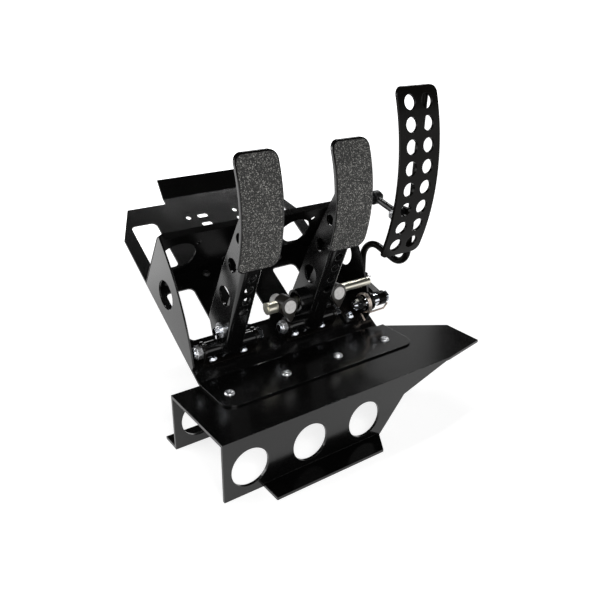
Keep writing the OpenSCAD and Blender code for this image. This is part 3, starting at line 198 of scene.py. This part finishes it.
# The trunnion bodies' coat: a lighter, browner black than the bracket coat.
brownish_black_coat = coat("brownish_black_coat", (0.011, 0.0095, 0.008), (0.018, 0.016, 0.0135),
                 rough=(0.26, 0.36), peel=0.05)
turned_zinc = metal("turned_zinc", (0.5, 0.49, 0.48), (0.64, 0.63, 0.62),
                    rough=(0.5, 0.6), scratch=0.1, metallic=0.35)
for part in frame["record"]["subparts"]:
    target = nodes[part["node"]]
    target.data.materials.clear()
    target.data.materials.append(materials[part["material_slot"]])
nodes["cylinder_wall"].data.materials[0] = wall_coat


# Finer pieces in place of plain nodes

def solids(node):
    """The low and high corner of each separate solid of a node, in order along X."""
    same_point = 1e-6
    bm = bmesh.new()
    bm.from_mesh(nodes[node].data)
    bmesh.ops.remove_doubles(bm, verts=bm.verts, dist=same_point)
    left = set(bm.verts)
    boxes = []
    while left:
        group = []
        todo = [left.pop()]
        while todo:
            vert = todo.pop()
            group.append(vert.co.copy())
            for edge in vert.link_edges:
                other = edge.other_vert(vert)
                if other in left:
                    left.remove(other)
                    todo.append(other)
        low_corner = [min(co[axis] for co in group) for axis in range(3)]
        high_corner = [max(co[axis] for co in group) for axis in range(3)]
        boxes.append((low_corner, high_corner))
    bm.free()
    return sorted(boxes)


def loft(rings):
    """A closed shape through rings of equally many points, its ends filled."""
    count = len(rings[0])
    verts = [point for ring in rings for point in ring]
    faces = [list(range(count))[::-1], [len(verts) - count + step for step in range(count)]]
    for start in range(0, len(verts) - count, count):
        for step in range(count):
            after = (step + 1) % count
            faces.append([start + step, start + after, start + count + after, start + count + step])
    return verts, faces


def turned(profile, count=48):
    """A shape turned about Z through places of a radius, a height and a number of flats, 0 if round."""
    rings = []
    for radius, height, flats in profile:
        ring = []
        for step in range(count):
            angle = 2.0 * math.pi * step / count
            reach = radius
            if flats:
                half = math.pi / flats
                reach = radius / math.cos(angle % (2.0 * half) - half)
            ring.append((reach * math.cos(angle), reach * math.sin(angle), height))
        rings.append(ring)
    return loft(rings)


def piece(name, shapes, slot, body, replaced, material=None):
    """One piece of several placed shapes that rides on a body in place of a node."""
    sharp_angle = math.radians(32.0)
    bm = bmesh.new()
    for (verts, faces), place in shapes:
        made = [bm.verts.new(place @ Vector(point)) for point in verts]
        for face in faces:
            bm.faces.new([made[index] for index in face])
    bmesh.ops.recalc_face_normals(bm, faces=bm.faces)
    mesh = bpy.data.meshes.new(name)
    bm.to_mesh(mesh)
    bm.free()
    mesh.shade_smooth()
    mesh.set_sharp_from_angle(angle=sharp_angle)
    mesh.materials.append(material or materials[slot])
    made_piece = bpy.data.objects.new(name, mesh)
    bpy.context.collection.objects.link(made_piece)
    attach(made_piece, body)
    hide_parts(replaced)


def stand_screws():
    """The tray's button-head screws: low domed heads with hexagon sockets, over threaded shanks."""
    head_height, low_head, rim = 0.0033, 0.0026, 0.0005
    dome_steps, dome_turn = 6, math.radians(60.0)
    socket, socket_depth, socket_chamfer, socket_flats = 0.0021, 0.0016, 0.0003, 6
    socket_mouth, dome_top = 1.12 * socket, 1.6 * socket
    pitch, thread_depth, shank_share = 0.001, 0.00055, 0.57
    shapes = []
    for low_corner, high_corner in solids("stand_bolts"):
        centre_x = (low_corner[0] + high_corner[0]) / 2.0
        centre_y = (low_corner[1] + high_corner[1]) / 2.0
        radius = (high_corner[0] - low_corner[0]) / 2.0
        seat = high_corner[2] - head_height
        top = seat + low_head
        shank = radius * shank_share
        root = shank - thread_depth
        profile = [(root - thread_depth, low_corner[2], 0)]
        threads = int((seat - low_corner[2]) / pitch - 0.5)
        for thread in range(threads):
            crest = low_corner[2] + (thread + 0.5) * pitch
            profile.append((shank, crest, 0))
            profile.append((root, crest + pitch / 2.0, 0))
        profile += [(shank, seat, 0), (radius, seat, 0), (radius, seat + rim, 0)]
        for step in range(1, dome_steps + 1):
            turn = dome_turn * step / dome_steps
            inward = (1.0 - math.cos(turn)) / (1.0 - math.cos(dome_turn))
            upward = math.sin(turn) / math.sin(dome_turn)
            dome_radius = radius - (radius - dome_top) * inward
            profile.append((dome_radius, seat + rim + (low_head - rim) * upward, 0))
        profile += [(socket_mouth, top, socket_flats), (socket, top - socket_chamfer, socket_flats),
                    (socket, top - socket_depth, socket_flats)]
        shapes.append((turned(profile), Matrix.Translation((centre_x, centre_y, 0.0))))
    piece("stand_screws", shapes, "zinc", "frame", "stand_bolts")


# How far the trunnions hang forward of upright, and how their plates stand in front of the bar

trunnion_tilt = math.radians(5.0)
trunnion_radius, trunnion_point, trunnion_tip = 0.0103, 0.019, 0.0172
trunnion_back, plate_back, plate_front, plate_edge = -0.006, 0.0075, 0.0122, 0.0008
plug_radius, plug_proud, plug_back, plug_chamfer = 0.0074, 0.0008, -0.018, 0.0004
plug_bore, plug_bore_depth, plug_back_chamfer = 0.004, 0.01, 0.0005


def drop_ring(radius, height, drop, count=72):
    """A round outline that a share of drop pulls out to a blunt point on its low side."""
    tangent = math.acos(trunnion_radius / trunnion_point)
    ring = []
    for step in range(count):
        angle = 2.0 * math.pi * step / count
        off_low = abs((angle + math.pi / 2.0 + math.pi) % (2.0 * math.pi) - math.pi)
        reach = 1.0
        if off_low < tangent:
            reach = min(1.0 / math.cos(tangent - off_low), trunnion_tip / trunnion_radius)
        reach = radius * (1.0 + drop * (reach - 1.0))
        ring.append((reach * math.cos(angle), reach * math.sin(angle), height))
    return ring


def trunnion():
    """A round body behind a plate with a point, its front edge rounded in two steps."""
    round_step = 0.3 * plate_edge
    return loft([drop_ring(trunnion_radius - plate_edge, trunnion_back, 0.0),
                 drop_ring(trunnion_radius, trunnion_back + plate_edge, 0.0),
                 drop_ring(trunnion_radius, plate_back - plate_edge, 0.0),
                 drop_ring(trunnion_radius, plate_back, 1.0),
                 drop_ring(trunnion_radius, plate_front - plate_edge, 1.0),
                 drop_ring(trunnion_radius - round_step, plate_front - round_step, 1.0),
                 drop_ring(trunnion_radius - plate_edge, plate_front, 1.0)])


def plug():
    """A turned plug through the trunnion, bored for the push rod from behind."""
    face = plate_front + plug_proud
    return turned([(plug_bore, plug_back + plug_bore_depth, 0), (plug_bore, plug_back, 0),
                   (plug_radius - plug_back_chamfer, plug_back, 0),
                   (plug_radius, plug_back + plug_back_chamfer, 0),
                   (plug_radius, face - plug_chamfer, 0), (plug_radius - plug_chamfer, face, 0),
                   (plug_radius / 2.0, face, 0)])


def trunnions_and_plugs():
    """The balance bar's trunnions, hanging free, with the turned plugs that take the push rods."""
    bar_low, bar_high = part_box("balance_bar")
    bar_y, bar_z = (bar_low[1] + bar_high[1]) / 2.0, (bar_low[2] + bar_high[2]) / 2.0
    out = Vector((0.0, -math.cos(trunnion_tilt), math.sin(trunnion_tilt)))
    across = Vector((1.0, 0.0, 0.0))
    turn = Matrix((across, out.cross(across), out)).transposed().to_4x4()
    bodies, plugs = [], []
    for low_corner, high_corner in solids("bar_trunnions"):
        place = Matrix.Translation(((low_corner[0] + high_corner[0]) / 2.0, bar_y, bar_z)) @ turn
        bodies.append((trunnion(), place))
        plugs.append((plug(), place))
    piece("trunnion_bodies", bodies, "bracket_coat", "bar", "bar_trunnions", brownish_black_coat)
    piece("push_rod_plugs", plugs, "zinc", "bar", "push_rod_sockets", turned_zinc)


stand_screws()
trunnions_and_plugs()


# Camera at the photo's place

camera_place = (-0.40555, -0.59443, 0.4231)
azimuth, elevation, roll = math.radians(-35.60), math.radians(23.89), math.radians(0.51)
back = Vector((math.sin(azimuth) * math.cos(elevation), -math.cos(azimuth) * math.cos(elevation),
               math.sin(elevation)))
right = Vector((math.cos(azimuth), math.sin(azimuth), 0.0))
up = back.cross(right)
camera_right = math.cos(roll) * right + math.sin(roll) * up
camera_up = math.cos(roll) * up - math.sin(roll) * right
camera = bpy.data.objects.new("camera", bpy.data.cameras.new("camera"))
bpy.context.collection.objects.link(camera)
view_turn = Matrix((camera_right, camera_up, back)).transposed()
camera.matrix_world = Matrix.Translation(camera_place) @ view_turn.to_4x4()
camera.data.lens = 41.1
camera.data.sensor_width = 36.0
camera.data.clip_start = 0.01
bpy.context.scene.camera = camera


# Floor, backdrop and light

def map_range(tree, source, places, levels):
    """A smooth step between two levels as the source goes from one place to the other."""
    node = tree.nodes.new("ShaderNodeMapRange")
    node.interpolation_type = "SMOOTHSTEP"
    node.inputs["From Min"].default_value, node.inputs["From Max"].default_value = places
    node.inputs["To Min"].default_value, node.inputs["To Max"].default_value = levels
    tree.links.new(source, node.inputs["Value"])
    return node.outputs["Result"]


def stage_white(name):
    """Matte white that glows, for what stands around the part."""
    material, tree, shader = new_material(name)
    shader.inputs["Base Color"].default_value = (*grey(0.5), 1.0)
    shader.inputs["Roughness"].default_value = 1.0
    shader.inputs["Specular IOR Level"].default_value = 0.0
    shader.inputs["Emission Color"].default_value = (*grey(1.0), 1.0)
    return material, tree, shader


def stage_mesh(name, verts, faces, material):
    """A mesh object of the stage."""
    mesh = bpy.data.meshes.new(name)
    mesh.from_pydata(verts, [], faces)
    mesh.materials.append(material)
    made = bpy.data.objects.new(name, mesh)
    bpy.context.collection.objects.link(made)
    return made


def stage_floor():
    """A plain white floor that glows more away from the part, and most behind it on the left."""
    reach = 400.0
    glow_places, glow_levels = (0.25, 0.9), (0.78, 1.02)
    front_right = (0.45, -0.893, 0.0)
    rear_places, rear_levels = (-0.35, -0.55), (0.0, 0.6)
    material, tree, shader = stage_white("floor_white")
    coords = tree.nodes.new("ShaderNodeTexCoord")
    distance = tree.nodes.new("ShaderNodeVectorMath")
    distance.operation = "LENGTH"
    tree.links.new(coords.outputs["Object"], distance.inputs[0])
    side = tree.nodes.new("ShaderNodeVectorMath")
    side.operation = "DOT_PRODUCT"
    side.inputs[1].default_value = front_right
    tree.links.new(coords.outputs["Object"], side.inputs[0])
    total = tree.nodes.new("ShaderNodeMath")
    glow = map_range(tree, distance.outputs["Value"], glow_places, glow_levels)
    tree.links.new(glow, total.inputs[0])
    rear_glow = map_range(tree, side.outputs["Value"], rear_places, rear_levels)
    tree.links.new(rear_glow, total.inputs[1])
    tree.links.new(total.outputs["Value"], shader.inputs["Emission Strength"])
    corners = [(-reach, -reach, 0.0), (reach, -reach, 0.0), (reach, reach, 0.0), (-reach, reach, 0.0)]
    floor = stage_mesh("floor", corners, [(0, 1, 2, 3)], material)


def stage_backdrop():
    """A low white wall far round the part, under a dark sky."""
    reach, height, count = 20.0, 4.2, 96
    material, _, shader = stage_white("backdrop_white")
    shader.inputs["Emission Strength"].default_value = 1.0
    verts, faces = [], []
    for step in range(count):
        angle = 2.0 * math.pi * step / count
        foot = (reach * math.cos(angle), reach * math.sin(angle))
        verts += [(*foot, 0.0), (*foot, height)]
        after = (step + 1) % count
        faces.append((2 * step, 2 * step + 1, 2 * after + 1, 2 * after))
    backdrop = stage_mesh("backdrop", verts, faces, material)


def area_light(name, place, target, size, power, along=None):
    """A soft rectangular panel aimed at a point, its width level or along a given way."""
    data = bpy.data.lights.new(name, "AREA")
    data.shape = "RECTANGLE"
    data.size, data.size_y = size
    data.energy = power
    light = bpy.data.objects.new(name, data)
    away = (Vector(place) - Vector(target)).normalized()
    wide = Vector(along) if along else Vector((0.0, 0.0, 1.0)).cross(away)
    wide = (wide - wide.dot(away) * away).normalized()
    turn = Matrix((wide, away.cross(wide), away)).transposed()
    light.matrix_world = Matrix.Translation(place) @ turn.to_4x4()
    bpy.context.collection.objects.link(light)


stage_floor()
stage_backdrop()
area_light("left_panel", place=(-1.3, 0.75, 0.6), target=(0.0, 0.0, 0.12), size=(1.2, 0.8), power=12.0)
area_light("front_panel", place=(-0.6, -1.5, 1.2), target=(0.0, 0.0, 0.15), size=(1.0, 0.8), power=18.0)
area_light("right_panel", place=(1.17, 0.98, 0.88), target=(0.1, -0.1, 0.06), size=(0.24, 0.5), power=0.2)
area_light("top_panel", place=(0.66, 0.36, 1.35), target=(0.0, 0.13, 0.18), size=(0.85, 0.4), power=0.12,
           along=(1.0, 0.0, 0.0))
area_light("strip", place=(0.73, 0.49, 1.23), target=(0.0, -0.05, 0.065), size=(0.7, 0.06), power=5.0,
           along=(0.954, -0.138, -0.3))

world = bpy.data.worlds.new("studio")
bpy.context.scene.world = world
world.use_nodes = True
sky = world.node_tree.nodes["Background"]
sky.inputs["Color"].default_value = (*grey(1.0), 1.0)
sky.inputs["Strength"].default_value = 0.015
bpy.context.scene.view_settings.view_transform = "Standard"
